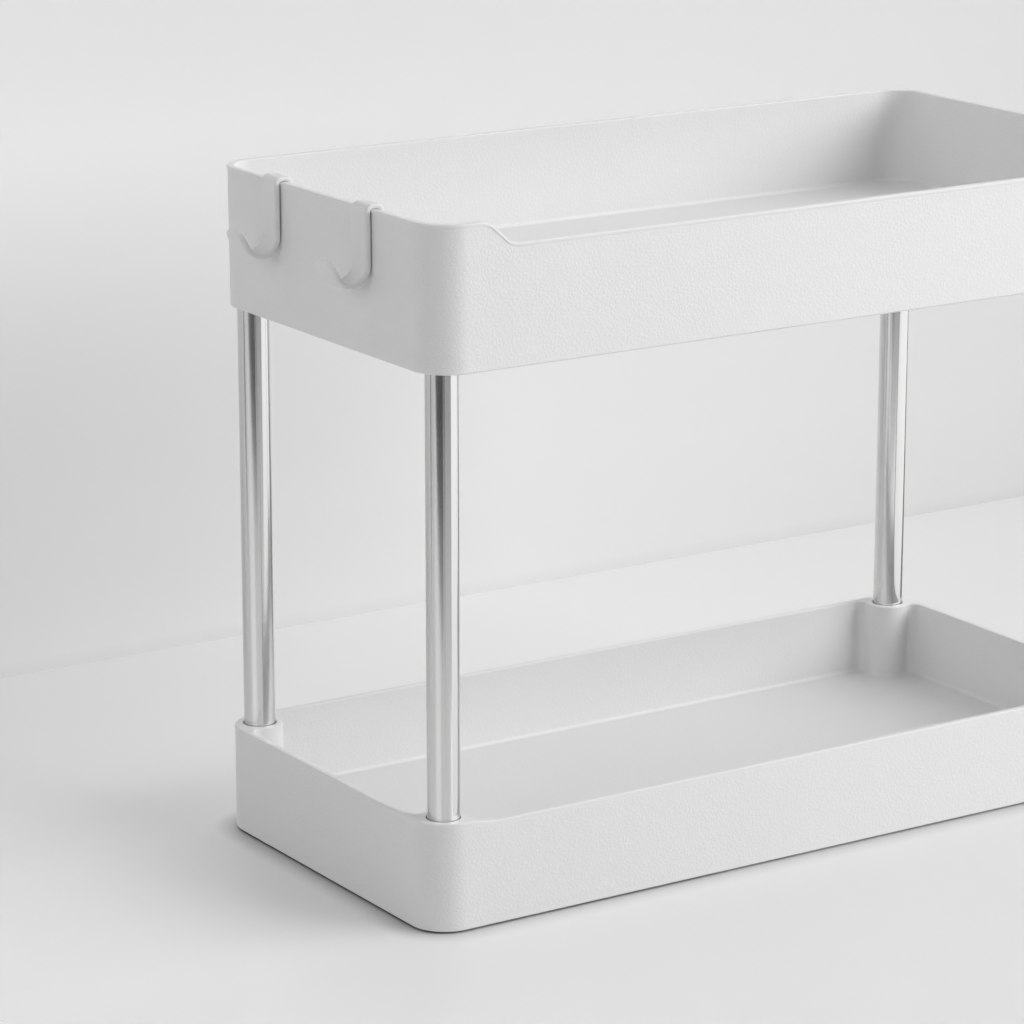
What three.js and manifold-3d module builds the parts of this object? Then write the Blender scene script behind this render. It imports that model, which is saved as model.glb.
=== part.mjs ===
// Two-tier countertop organizer: two moulded trays on four steel posts, with two hooks over the upper rim.
// Millimetres, +Z up, +X along the trays, -Y to the front. The origin lies on the surface that the organizer
// stands on, under the middle of its outline with the hooks.
import * as THREE from 'three';
import { mergeVertices } from 'three/addons/utils/BufferGeometryUtils.js';
import Module from 'manifold-3d';

const wasm = await Module();
wasm.setup();

// Trays
const rimHeight = 270; // standing surface to the upper rim
const lowerLength = 342;
const lowerWidth = 160;
const lowerHeight = 42.3; // skirt edge to rim
const lowerFloorRise = 10; // skirt edge to the top of the floor
const upperHeight = 55.25;
const upperFloorRise = 15.75;
const upperDraft = 0.3; // how much each wall leans in from the rim down
const cornerRadius = 15; // outside, in plan
const wall = 2.8;
const floorThickness = 2.5;
const floorFillet = 3;
const rimLand = 1.6; // flat left on the top of the rounded rim
const skirtRound = 0.8; // outer edge of the skirt

// Lowered front lip: two bends of one radius and a straight slope between them
const upperLipDrop = 9.1;
const upperLipMargin = 5.2; // from the end of the corner's bend to the first bend of the lip
const lowerLipDrop = 1.5;
const lowerLipMargin = 0.6; // from the end of the corner pad's blend to the first bend of the lip
const lipBend = 9;
const lipSlope = THREE.MathUtils.degToRad(42);

// Posts and their sockets
const postDiameter = 12.5;
const postWall = 0.8;
const lowerEndInset = 11.65; // post centre to the outside of the lower tray's end
const lowerSideInset = 10.65;
const upperEndInset = 10.35; // post centre to the outside of the upper tray's end, at the rim
const upperSideInset = 11.15;
const socketClearance = 0.35;
const socketWall = 3.15;
const socketSole = 5; // skirt edge to the bottom of the lower sockets
const upperSocketSetback = 0.6; // mouth of the upper sockets above the skirt edge
const padBlend = 0.8; // hollow blend between a corner pad and the wall, at the floor

// End plugs in the tubes
const plugFlange = 1.5;
const plugLength = 12;
const plugLead = 1;
const plugClearance = 0.15;

// Anti-slip feet
const footDiameter = 13;
const footProud = 1;
const footRecess = 1.2;
const footChamfer = 0.4;
const footClearance = 0.2;

// Rim hooks
const hookWidth = 11;
const hookThickness = 2.4;
const hookSpacing = 66.4; // middle to middle
const hookGap = 0.4; // strap to the tray's outer wall
const hookDrop = 26.6; // rim to the bottom of the throat
const throatRadius = 5.7;
const tongueAngle = THREE.MathUtils.degToRad(61);
const tongueLength = 6.95;
const tipRadius = 4.9;
const clipClearance = 0.3;
const clipLeg = 11; // how far the clip reaches down inside the tray
const clipBend = 0.9;

// Facets
const cornerSteps = 12;
const lipSteps = 8;
const rimSteps = 3;
const filletSteps = 3;
const roundSteps = 28;
const hookArcSteps = 5;

// Levels and plan sizes that follow
const lowerBottom = footProud;
const lowerRim = lowerBottom + lowerHeight;
const upperRim = rimHeight;
const upperBottom = upperRim - upperHeight;
const postX = lowerLength / 2 - lowerEndInset;
const postY = lowerWidth / 2 - lowerSideInset;
const upperHalfX = postX + upperEndInset;
const upperHalfY = postY + upperSideInset;
const postRadius = postDiameter / 2;
const socketRadius = postRadius + socketClearance;
const bossRadius = socketRadius + socketWall;
const recessRadius = footDiameter / 2 + footClearance;
const rimRound = (wall - rimLand) / 2;
const lowerSocketFloor = lowerBottom + socketSole;
const upperSocketRoof = upperBottom + upperFloorRise - floorThickness;
const cut = 1; // how far a cutting solid runs past the face that it opens

const trayPlastic = new THREE.MeshStandardMaterial({ color: 0xe6e6e5, roughness: 0.55, metalness: 0 });
const hookPlastic = new THREE.MeshStandardMaterial({ color: 0xe4e4e3, roughness: 0.4, metalness: 0 });
const postSteel = new THREE.MeshStandardMaterial({ color: 0xc4c5c6, roughness: 0.2, metalness: 1 });
const plugPlastic = new THREE.MeshStandardMaterial({ color: 0xd2d2d0, roughness: 0.6, metalness: 0 });
const footRubber = new THREE.MeshStandardMaterial({ color: 0x8c8c8a, roughness: 0.8, metalness: 0 });

// Solids for joining and cutting
function toSolid(geometry) {
  const bare = geometry.clone();
  bare.deleteAttribute('normal');
  bare.deleteAttribute('uv');
  const merged = mergeVertices(bare);
  const vertProperties = new Float32Array(merged.attributes.position.array);
  const triVerts = new Uint32Array(merged.index.array);
  return new wasm.Manifold(new wasm.Mesh({ numProp: 3, vertProperties, triVerts }));
}

function toGeometry(solid) {
  const mesh = solid.getMesh();
  const geometry = new THREE.BufferGeometry();
  geometry.setAttribute('position', new THREE.BufferAttribute(mesh.vertProperties, 3));
  geometry.setIndex(new THREE.BufferAttribute(mesh.triVerts, 1));
  return geometry;
}

// Upright cylinder between two levels
function cylinder(radius, low, high, x, y) {
  const geometry = new THREE.CylinderGeometry(radius, radius, high - low, roundSteps);
  geometry.rotateX(Math.PI / 2);
  geometry.translate(x, y, (low + high) / 2);
  return geometry;
}

// Upright turned piece from a profile of [radius, level] pairs, up on its outside
function turned(profile) {
  const geometry = new THREE.LatheGeometry(profile.map(([r, z]) => new THREE.Vector2(r, z)), roundSteps);
  geometry.rotateX(Math.PI / 2);
  return geometry;
}

// Closed skin over a stack of rings with the same number of points, each counter-clockwise from above.
// The first and the last ring are flat, and are filled from their middle.
function skin(rings) {
  const count = rings[0].length;
  const last = (rings.length - 1) * count;
  const firstMiddle = rings.length * count;
  const lastMiddle = firstMiddle + 1;
  const index = [];
  for (let i = 0; i < count; i++) {
    const next = (i + 1) % count;
    index.push(firstMiddle, next, i, lastMiddle, last + i, last + next);
    for (let ring = 0; ring < last; ring += count) {
      const [a, b] = [ring + i, ring + next];
      const [c, d] = [a + count, b + count];
      index.push(a, b, d, a, d, c);
    }
  }
  const middles = [rings[0], rings.at(-1)].map((ring) => new THREE.Vector3(0, 0, ring[0].z));
  const geometry = new THREE.BufferGeometry().setFromPoints([...rings.flat(), ...middles]);
  geometry.setIndex(index);
  return geometry;
}

// Points on an arc, ends included
function arc(centreX, centreY, radius, from, to, steps) {
  const points = [];
  for (let i = 0; i <= steps; i++) {
    const angle = from + ((to - from) * i) / steps;
    points.push(new THREE.Vector2(centreX + radius * Math.cos(angle), centreY + radius * Math.sin(angle)));
  }
  return points;
}

// Lowered lip between two S curves, the same at both ends of the front wall
function makeLip(start, drop) {
  const slope = Math.min(lipSlope, Math.acos(1 - drop / (2 * lipBend)));
  const bendRun = lipBend * Math.sin(slope);
  const bendDrop = lipBend * (1 - Math.cos(slope));
  const run = 2 * bendRun + (drop - 2 * bendDrop) / Math.tan(slope);
  const bendAt = (distance) => lipBend - Math.sqrt(lipBend ** 2 - distance ** 2);
  const dropAt = (distance) => {
    if (distance < bendRun) return bendAt(distance);
    if (distance > run - bendRun) return drop - bendAt(run - distance);
    return bendDrop + (distance - bendRun) * Math.tan(slope);
  };
  const left = [];
  for (let i = 0; i <= lipSteps; i++) {
    const distance = (run * i) / lipSteps;
    left.push({ x: -start + distance, drop: dropAt(distance) });
  }
  const right = left.map(({ x, drop: fall }) => ({ x: -x, drop: fall })).reverse();
  return [...left, ...right];
}

// Plan of a tray's wall: a ring of points at an inset, whose z holds how far the lip has dropped there.
// The corner function gives the front left corner, from the end wall to the front wall.
function makePlan(cornerAt, frontAt, lip) {
  return (inset) => {
    const corner = cornerAt(inset);
    const mirrored = [...corner].reverse();
    const ring = corner.map((p) => new THREE.Vector3(p.x, p.y, 0));
    ring.push(...lip.map(({ x, drop }) => new THREE.Vector3(x, frontAt(inset), drop)));
    ring.push(...mirrored.map((p) => new THREE.Vector3(-p.x, p.y, 0)));
    ring.push(...corner.map((p) => new THREE.Vector3(-p.x, -p.y, 0)));
    ring.push(...mirrored.map((p) => new THREE.Vector3(p.x, -p.y, 0)));
    return ring;
  };
}

function roundedPlan(halfX, halfY, radius, lip) {
  const cornerAt = (inset) =>
    arc(radius - halfX, radius - halfY, radius - inset, Math.PI, 1.5 * Math.PI, cornerSteps);
  return makePlan(cornerAt, (inset) => inset - halfY, lip);
}

// Corner pad that stands round a post: hollow blend, round boss, hollow blend
const padWallBlend = padBlend + floorFillet;
const padSpan = bossRadius + padWallBlend;
const padToEnd = lowerEndInset - wall;
const padToFront = lowerSideInset - wall;
const besideSpan = (offset) => Math.sqrt(padSpan ** 2 - offset ** 2);
const endBlend = new THREE.Vector2(padWallBlend - padToEnd, besideSpan(padToEnd - padWallBlend));
const frontBlend = new THREE.Vector2(besideSpan(padToFront - padWallBlend), padWallBlend - padToFront);

function padCorner(inset) {
  const steps = cornerSteps / 4;
  const blend = padWallBlend - inset;
  const endAngle = endBlend.angle();
  const frontAngle = frontBlend.angle() - 2 * Math.PI;
  const points = [
    ...arc(endBlend.x, endBlend.y, blend, Math.PI, endAngle + Math.PI, steps),
    ...arc(0, 0, bossRadius + inset, endAngle, frontAngle, 2 * steps).slice(1, -1),
    ...arc(frontBlend.x, frontBlend.y, blend, frontAngle + Math.PI, 1.5 * Math.PI, steps),
  ];
  return points.map((p) => p.sub(new THREE.Vector2(postX, postY)));
}

// Rings of a tray from the middle of its underside, round the skirt, over the rim and down to the floor
function trayRings({ outer, inner, draft, bottom, rim, floorTop }) {
  const rings = [];
  const add = (plan, inset, level, withLip) => {
    const drop = withLip ? 1 : 0;
    rings.push(plan(inset).map((p) => new THREE.Vector3(p.x, p.y, level - drop * p.z)));
  };
  const quarter = (step, steps) => ((Math.PI / 2) * step) / steps;
  add(outer, wall + draft, floorTop - floorThickness, false);
  add(outer, wall + draft, bottom, false);
  for (let i = 0; i <= filletSteps; i++) {
    const a = quarter(i, filletSteps);
    add(outer, draft + skirtRound * (1 - Math.sin(a)), bottom + skirtRound * (1 - Math.cos(a)), false);
  }
  for (let i = 0; i <= rimSteps; i++) {
    const a = quarter(i, rimSteps);
    add(outer, rimRound * (1 - Math.cos(a)), rim - rimRound * (1 - Math.sin(a)), true);
  }
  for (let i = 0; i <= rimSteps; i++) {
    const a = quarter(i, rimSteps);
    add(inner, rimRound * (Math.sin(a) - 1), rim - rimRound * (1 - Math.cos(a)), true);
  }
  for (let i = 0; i <= filletSteps; i++) {
    const a = quarter(i, filletSteps);
    add(inner, draft + floorFillet * (1 - Math.cos(a)), floorTop + floorFillet * (1 - Math.sin(a)), false);
  }
  return rings;
}

// Where the four posts stand
const corners = [
  { name: 'front_left', x: -postX, y: -postY },
  { name: 'front_right', x: postX, y: -postY },
  { name: 'back_right', x: postX, y: postY },
  { name: 'back_left', x: -postX, y: postY },
];

// Round bosses under a floor, kept inside the skirt's outer face
function underBosses(outer, draft, low, high) {
  const inside = outer(draft + skirtRound);
  const levels = [low - cut, high + cut];
  const core = toSolid(skin(levels.map((z) => inside.map((p) => new THREE.Vector3(p.x, p.y, z)))));
  const bosses = corners.map(({ x, y }) => toSolid(cylinder(bossRadius, low, high, x, y)));
  return bosses.map((boss) => boss.intersect(core));
}

function lowerTray() {
  const floorTop = lowerBottom + lowerFloorRise;
  const lip = makeLip(postX - frontBlend.x - lowerLipMargin, lowerLipDrop);
  const outer = roundedPlan(lowerLength / 2, lowerWidth / 2, cornerRadius, lip);
  const inner = makePlan(padCorner, (inset) => inset + wall - lowerWidth / 2, lip);
  const sizes = { outer, inner, draft: 0, bottom: lowerBottom, rim: lowerRim, floorTop };
  let tray = toSolid(skin(trayRings(sizes)));
  for (const boss of underBosses(outer, 0, lowerBottom, floorTop - floorThickness / 2)) {
    tray = tray.add(boss);
  }
  for (const { x, y } of corners) {
    tray = tray.subtract(toSolid(cylinder(socketRadius, lowerSocketFloor, lowerRim + cut, x, y)));
    tray = tray.subtract(toSolid(cylinder(recessRadius, lowerBottom - cut, lowerBottom + footRecess, x, y)));
  }
  return toGeometry(tray);
}

function upperTray() {
  const floorTop = upperBottom + upperFloorRise;
  const lip = makeLip(upperHalfX - cornerRadius - upperLipMargin, upperLipDrop);
  const outer = roundedPlan(upperHalfX, upperHalfY, cornerRadius, lip);
  const inner = roundedPlan(upperHalfX - wall, upperHalfY - wall, cornerRadius - wall, lip);
  const sizes = { outer, inner, draft: upperDraft, bottom: upperBottom, rim: upperRim, floorTop };
  let tray = toSolid(skin(trayRings(sizes)));
  const bossLow = upperBottom + upperSocketSetback;
  for (const boss of underBosses(outer, upperDraft, bossLow, floorTop - floorThickness / 2)) {
    tray = tray.add(boss);
  }
  for (const { x, y } of corners) {
    tray = tray.subtract(toSolid(cylinder(socketRadius, upperBottom - cut, upperSocketRoof, x, y)));
  }
  return toGeometry(tray);
}

// Thin tube between the flanges of its two plugs
function postTube() {
  const bore = postRadius - postWall;
  const low = lowerSocketFloor + plugFlange;
  const high = upperSocketRoof - plugFlange;
  return turned([[bore, low], [postRadius, low], [postRadius, high], [bore, high], [bore, low]]);
}

// Plug with its flange on the socket's floor and its spigot up in the tube
function endPlug() {
  const spigot = postRadius - postWall - plugClearance;
  const top = plugFlange + plugLength;
  return turned([
    [0, 0],
    [postRadius, 0],
    [postRadius, plugFlange],
    [spigot, plugFlange],
    [spigot, top - plugLead],
    [spigot - plugLead, top],
    [0, top],
  ]);
}

function foot() {
  const radius = footDiameter / 2;
  const height = footProud + footRecess;
  return turned([[0, 0], [radius - footChamfer, 0], [radius, footChamfer], [radius, height], [0, height]]);
}

// Side view of a hook: u runs outwards from the tray's end wall, v is the level
function hookProfile() {
  const strapBack = hookGap;
  const strapFace = hookGap + hookThickness;
  const legBack = -wall - clipClearance;
  const legFace = legBack - hookThickness;
  const legEnd = upperRim - clipLeg;
  const bendLevel = upperRim + clipClearance - clipBend;
  const outerBend = clipBend + hookThickness;
  const throatU = strapFace + throatRadius;
  const throatV = upperRim - hookDrop + throatRadius;
  const tongueStart = 1.5 * Math.PI + tongueAngle;
  const along = new THREE.Vector2(Math.cos(tongueAngle), Math.sin(tongueAngle));
  const middle = throatRadius + hookThickness / 2;
  const capU = throatU + middle * Math.cos(tongueStart) + tongueLength * along.x;
  const capV = throatV + middle * Math.sin(tongueStart) + tongueLength * along.y;
  const shape = new THREE.Shape();
  shape.moveTo(legFace, legEnd);
  shape.absarc(legBack + clipBend, bendLevel, outerBend, Math.PI, Math.PI / 2, true);
  shape.absarc(strapBack - clipBend, bendLevel, outerBend, Math.PI / 2, 0, true);
  shape.absarc(throatU, throatV, throatRadius, Math.PI, tongueStart, false);
  const square = Math.PI / 2;
  shape.absarc(capU, capV, hookThickness / 2, tongueAngle + square, tongueAngle - square, true);
  shape.absarc(throatU, throatV, throatRadius + hookThickness, tongueStart, Math.PI, true);
  shape.absarc(strapBack - clipBend, bendLevel, clipBend, 0, Math.PI / 2, false);
  shape.absarc(legBack + clipBend, bendLevel, clipBend, Math.PI / 2, Math.PI, false);
  shape.lineTo(legBack, legEnd);
  const tip = new THREE.Vector2(capU, capV).addScaledVector(along, hookThickness / 2);
  return { shape, tip };
}

// What is cut away round the end of the tongue to give its corners their radius
function tipCutter(tip) {
  const shape = new THREE.Shape();
  shape.moveTo(-tipRadius, -cut);
  shape.lineTo(cut, -cut);
  shape.lineTo(cut, hookWidth + cut);
  shape.lineTo(-tipRadius, hookWidth + cut);
  shape.absarc(-tipRadius, hookWidth - tipRadius, tipRadius, Math.PI / 2, 0, true);
  shape.absarc(-tipRadius, tipRadius, tipRadius, 0, -Math.PI / 2, true);
  const depth = 4 * hookThickness;
  const options = { depth, bevelEnabled: false, curveSegments: hookArcSteps };
  const geometry = new THREE.ExtrudeGeometry(shape, options);
  geometry.translate(0, 0, -depth / 2);
  const along = new THREE.Vector3(-Math.cos(tongueAngle), 0, Math.sin(tongueAngle));
  const across = new THREE.Vector3(0, 1, 0);
  const through = new THREE.Vector3().crossVectors(along, across);
  const place = new THREE.Matrix4().makeBasis(along, across, through).setPosition(-tip.x, 0, tip.y);
  return geometry.applyMatrix4(place);
}

function rimHook() {
  const { shape, tip } = hookProfile();
  const options = { depth: hookWidth, bevelEnabled: false, curveSegments: hookArcSteps };
  const strip = new THREE.ExtrudeGeometry(shape, options);
  strip.rotateX(Math.PI / 2);
  strip.rotateZ(Math.PI);
  return toGeometry(toSolid(strip).subtract(toSolid(tipCutter(tip))));
}

const organizer = new THREE.Group();

function place(name, geometry, material, x = 0, y = 0, z = 0) {
  const mesh = new THREE.Mesh(geometry, material);
  mesh.name = name;
  mesh.position.set(x, y, z);
  organizer.add(mesh);
  return mesh;
}

place('lower_tray', lowerTray(), trayPlastic);
place('upper_tray', upperTray(), trayPlastic);
for (const { name, x, y } of corners) {
  place(`post_${name}`, postTube(), postSteel, x, y);
  place(`plug_lower_${name}`, endPlug(), plugPlastic, x, y, lowerSocketFloor);
  const upperPlug = place(`plug_upper_${name}`, endPlug(), plugPlastic, x, y, upperSocketRoof);
  upperPlug.rotation.x = Math.PI;
  place(`foot_${name}`, foot(), footRubber, x, y);
}
const hookX = -upperHalfX;
const hookSide = hookWidth / 2;
place('hook_rear', rimHook(), hookPlastic, hookX, hookSpacing / 2 - hookSide);
place('hook_front', rimHook(), hookPlastic, hookX, -hookSpacing / 2 - hookSide);

const outline = new THREE.Box3().setFromObject(organizer);
organizer.position.x = -(outline.min.x + outline.max.x) / 2;

export default organizer;
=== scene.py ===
"""Looks of a tiered countertop organizer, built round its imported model.

Metres, in the model's own frame: +X along the trays, away from the hooks, -Y to the front and +Z up. The
origin lies on the surface that the organizer stands on.
"""

import math

import bmesh
import bpy
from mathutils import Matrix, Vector


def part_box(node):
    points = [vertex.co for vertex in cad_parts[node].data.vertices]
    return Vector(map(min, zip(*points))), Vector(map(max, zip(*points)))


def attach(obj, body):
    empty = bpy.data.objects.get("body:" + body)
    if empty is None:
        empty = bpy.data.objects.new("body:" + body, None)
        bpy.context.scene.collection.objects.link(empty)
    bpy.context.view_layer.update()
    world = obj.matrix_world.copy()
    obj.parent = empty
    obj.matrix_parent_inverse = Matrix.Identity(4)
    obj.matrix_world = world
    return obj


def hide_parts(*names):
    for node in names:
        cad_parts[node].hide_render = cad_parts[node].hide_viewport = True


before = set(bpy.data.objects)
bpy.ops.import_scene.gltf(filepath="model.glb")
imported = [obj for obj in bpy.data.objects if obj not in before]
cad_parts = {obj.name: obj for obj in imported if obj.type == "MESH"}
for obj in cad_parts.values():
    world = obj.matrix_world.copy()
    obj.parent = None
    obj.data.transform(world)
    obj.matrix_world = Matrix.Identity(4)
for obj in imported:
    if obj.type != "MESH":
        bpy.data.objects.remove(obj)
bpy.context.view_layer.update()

bl_info = {
    "name": "Countertop organizer",
    "version": (1, 0, 0),
    "blender": (4, 5, 0),
    "location": "3D View > Sidebar > Organizer",
    "description": "Makes the finished pieces of a tiered countertop organizer and the stage it stands on",
    "category": "Add Mesh",
}

SENSOR_WIDTH = 36.0  # millimetres

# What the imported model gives
lower_low, lower_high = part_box("lower_tray")
upper_low, upper_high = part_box("upper_tray")
tray_middle = (lower_low + lower_high) / 2
CORNERS = ("front_left", "front_right", "back_right", "back_left")

# Facets of the finished meshes
CORNER_STEPS = 32
LIP_STEPS = 28
RIM_STEPS = 6
FILLET_STEPS = 6
ROUND_STEPS = 96
MOUTH_STEPS = 5
BEND_STEPS = 10
EDGE_STEPS = 4
CARD_STEPS = 32
SHARP_DEGREES = 38  # faces that meet at a steeper angle keep a sharp edge
STRAP_SHARP_DEGREES = 70
CUT = 0.001  # how far a cutting solid runs past the face that it opens

# Share of the full grain on each face of a tray
OUTER_GRAIN = 0.9
INNER_GRAIN = 0.65
FLOOR_GRAIN = 0.5

# Surfaces
PLASTIC_IOR = 1.46

# Painted light and shade on table and wall where they are seen, each as two tones and the two places between
# which one goes over to the other
FLOOR_PAINTED_LIGHT_ACROSS = (1.19, 0.925, -0.3, 0.45)
FLOOR_PAINTED_LIGHT_ALONG = (0.965, 1.06, -0.25, 0.3)
WALL_PAINTED_LIGHT_ACROSS = (1.25, 0.885, -0.2, 0.5)
WALL_PAINTED_LIGHT_UPWARDS = (1.0, 0.93, 0.0, 0.3)
# Painted shade at the foot of the wall, where it meets the table
WALL_FOOT_PAINTED_SHADE = ((0.965, 1.0, 0.0, 0.06), (0.94, 1.0, 0.0, 0.007))

# Shade on the table close to the organizer: its reach, and its share from front to back
CONTACT_REACH = 0.011
CONTACT_FRONT = (0.55, 1.0, -0.085, -0.06)
CONTACT_BACK = (1.0, 0.0, 0.12, 0.2)

# Painted reflections in the steel: glowing cards just above the table round the front left post, seen in
# mirrors alone.
# For each: where it starts and stops, in degrees, and (radius, glow) at its near and its far end
MIRROR_CARDS = {
    "left_card": ((153, 163), (0.35, 0.72), (1.0, 0.12)),
    "dim_card": ((247, 259), (0.25, 0.72), (0.9, 0.2)),
    "grey_card": ((259, 302), (0.3, 0.72), (0.9, 0.42)),
    "window_reflection_card": ((303, 371), (0.12, 1.05), (0.9, 1.3)),
    "right_card": ((373, 400), (0.12, 0.3), (0.9, 0.3)),
}
MIRROR_REACH = 2.5
MIRROR_LEVEL = 0.0004  # just above the table
# A dark glowing card, seen in mirrors alone: the painted reflection of a dark place in front
DARK_EDGE = ((-0.16, -0.333), (-1.6, -0.133))
DARK_TURN = (185, 247)
DARK_REACH = 1.6
DARK_GLOW = ((0.22, 0.62), (0.72, 0.05))


def length(name, description, default):
    """A size in metres"""
    return bpy.props.FloatProperty(
        name=name, description=description, default=default, subtype="DISTANCE", unit="LENGTH", precision=5
    )


def angle(name, description, degrees):
    """An angle, stored in radians"""
    return bpy.props.FloatProperty(
        name=name, description=description, default=math.radians(degrees), subtype="ANGLE", unit="ROTATION"
    )


def amount(name, description, default):
    """A plain number, such as a roughness or a strength"""
    return bpy.props.FloatProperty(name=name, description=description, default=default, min=0.0, precision=4)


def colour(name, description, default):
    """A linear colour"""
    return bpy.props.FloatVectorProperty(
        name=name, description=description, default=default, subtype="COLOR", size=3, min=0.0, max=1.0
    )


def place(name, description, default):
    """A point in metres"""
    return bpy.props.FloatVectorProperty(
        name=name, description=description, default=default, subtype="TRANSLATION", unit="LENGTH", size=3
    )


class OrganizerTrays(bpy.types.PropertyGroup):
    """Sizes of the two moulded trays"""

    corner_radius: length("Corner radius", "Outside, in plan", 0.015)
    wall: length("Wall", "Thickness of the side walls", 0.0028)
    floor_thickness: length("Floor", "Thickness of the floors", 0.0025)
    floor_fillet: length("Floor fillet", "Hollow bend between wall and floor", 0.0016)
    rim_flat: length("Rim flat", "Flat left on the crown of the rounded rim", 0.0016)
    skirt_drop: length("Skirt drop", "How far the skirts reach below the plain solids", 0.00035)
    skirt_round: length("Skirt rounding", "Outer edge under the walls", 0.0008)
    lower_floor_rise: length("Lower floor", "Skirt edge to the top of the lower floor", 0.010)
    upper_floor_rise: length("Upper floor", "Skirt edge to the top of the upper floor", 0.01575)
    upper_draft: length("Upper draft", "How much the upper walls lean in from the rim down", 0.0003)
    lip_slope: angle("Lip slope", "Steepest slope of a lowered lip", 42)
    upper_lip_bend: length("Upper lip bend", "Radius of both bends of the upper tray's lip", 0.009)
    upper_lip_drop: length("Upper lip drop", "How far the upper tray's front is lowered", 0.0091)
    upper_lip_margin: length("Upper lip margin", "Corner bend to the start of the upper lip", 0.0052)
    lower_lip_bend: length("Lower lip bend", "Radius of both bends of the lower tray's lip", 0.0415)
    lower_lip_drop: length("Lower lip drop", "How far the lower tray's front is lowered", 0.0015)
    rim_band: length("Rim band", "Smooth band below the rim, before the grain starts", 0.0012)
    upper_bead: length("Upper bead", "How far the upper rim stands proud of its wall", 0.0003)
    bead_height: length("Bead height", "Height of the upper rim's bead", 0.0013)
    band_fade: length("Band fade", "Height over which the grain fades in", 0.0005)


class OrganizerPosts(bpy.types.PropertyGroup):
    """Sizes of the posts, their sockets, plugs and feet"""

    tube_wall: length("Tube wall", "Thickness of the steel tubes", 0.0008)
    tube_edge: length("Tube edge", "Rounding of the tubes' cut ends", 0.0002)
    socket_clearance: length("Socket clearance", "Gap round a tube in its socket", 0.00035)
    socket_wall: length("Socket wall", "Plastic round a socket", 0.0026)
    socket_sole: length("Socket sole", "Skirt edge to the bottom of a lower socket", 0.005)
    socket_mouth: length("Socket mouth", "Rounding of a socket's mouth", 0.0004)
    upper_setback: length("Upper setback", "Mouth of an upper socket above the skirt edge", 0.0006)
    pad_blend: length("Pad blend", "Hollow bend between a corner pad and the wall, at the floor", 0.0024)
    plug_flange: length("Plug flange", "Flange between a socket and the tube's end", 0.0015)
    plug_lead: length("Plug lead-in", "Chamfer on a plug's spigot", 0.001)
    plug_clearance: length("Plug clearance", "Gap round a plug in its tube", 0.00015)
    foot_recess: length("Foot recess", "How deep a foot sits in the tray", 0.0012)
    foot_edge: length("Foot edge", "Rounding of a foot's lower edge", 0.0004)
    foot_clearance: length("Foot clearance", "Gap round a foot in its recess", 0.0002)


class OrganizerHooks(bpy.types.PropertyGroup):
    """Sizes of the two rim hooks"""

    thickness: length("Thickness", "Thickness of the strap", 0.0024)
    edge: length("Edge", "Rounding along the strap's edges", 0.0009)
    gap: length("Gap", "Strap to the tray's outer wall", 0.0004)
    drop: length("Drop", "Rim to the bottom of the throat", 0.0266)
    throat_radius: length("Throat radius", "Inside bend of the throat", 0.0057)
    tongue_angle: angle("Tongue angle", "Slope of the tongue where it leaves the throat", 56.4)
    tongue_turn: angle("Tongue turn", "How much steeper the tongue is at its tip", 13.3)
    tongue_length: length("Tongue length", "From the throat to the rounding of the tip", 0.0077)
    tip_radius: length("Tip radius", "Rounding of the tongue's corners, in plan", 0.0049)
    seat: length("Seat", "Clip to the top of the rim", 0.00004)
    clip_clearance: length("Clip clearance", "Clip to the tray's inner wall", 0.0003)
    clip_leg: length("Clip leg", "How far the clip reaches down inside the tray", 0.011)
    clip_bend: length("Clip bend", "Inside bend of the clip", 0.0008)
    arch_share: amount("Arch share", "Thickness over the rim, as a share of the strap's", 0.78)
    step: length("Step", "Spacing of the sections along the strap", 0.0004)


class OrganizerFinishes(bpy.types.PropertyGroup):
    """Colours and surface detail"""

    tray_colour: colour("Tray colour", "White moulded plastic", (0.81, 0.812, 0.812))
    grain_size: length("Grain size", "Width of one pebble of the moulded grain", 0.0017)
    grain_depth: length("Grain depth", "Depth of the creases in the grain", 0.000059)
    hook_colour: colour("Hook colour", "White moulded plastic", (0.81, 0.812, 0.812))
    steel_colour: colour("Steel colour", "Polished stainless steel", (0.68, 0.68, 0.675))
    plug_colour: colour("Plug colour", "Natural plastic", (0.62, 0.62, 0.60))
    rubber_colour: colour("Rubber colour", "Grey rubber", (0.25, 0.25, 0.245))


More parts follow.
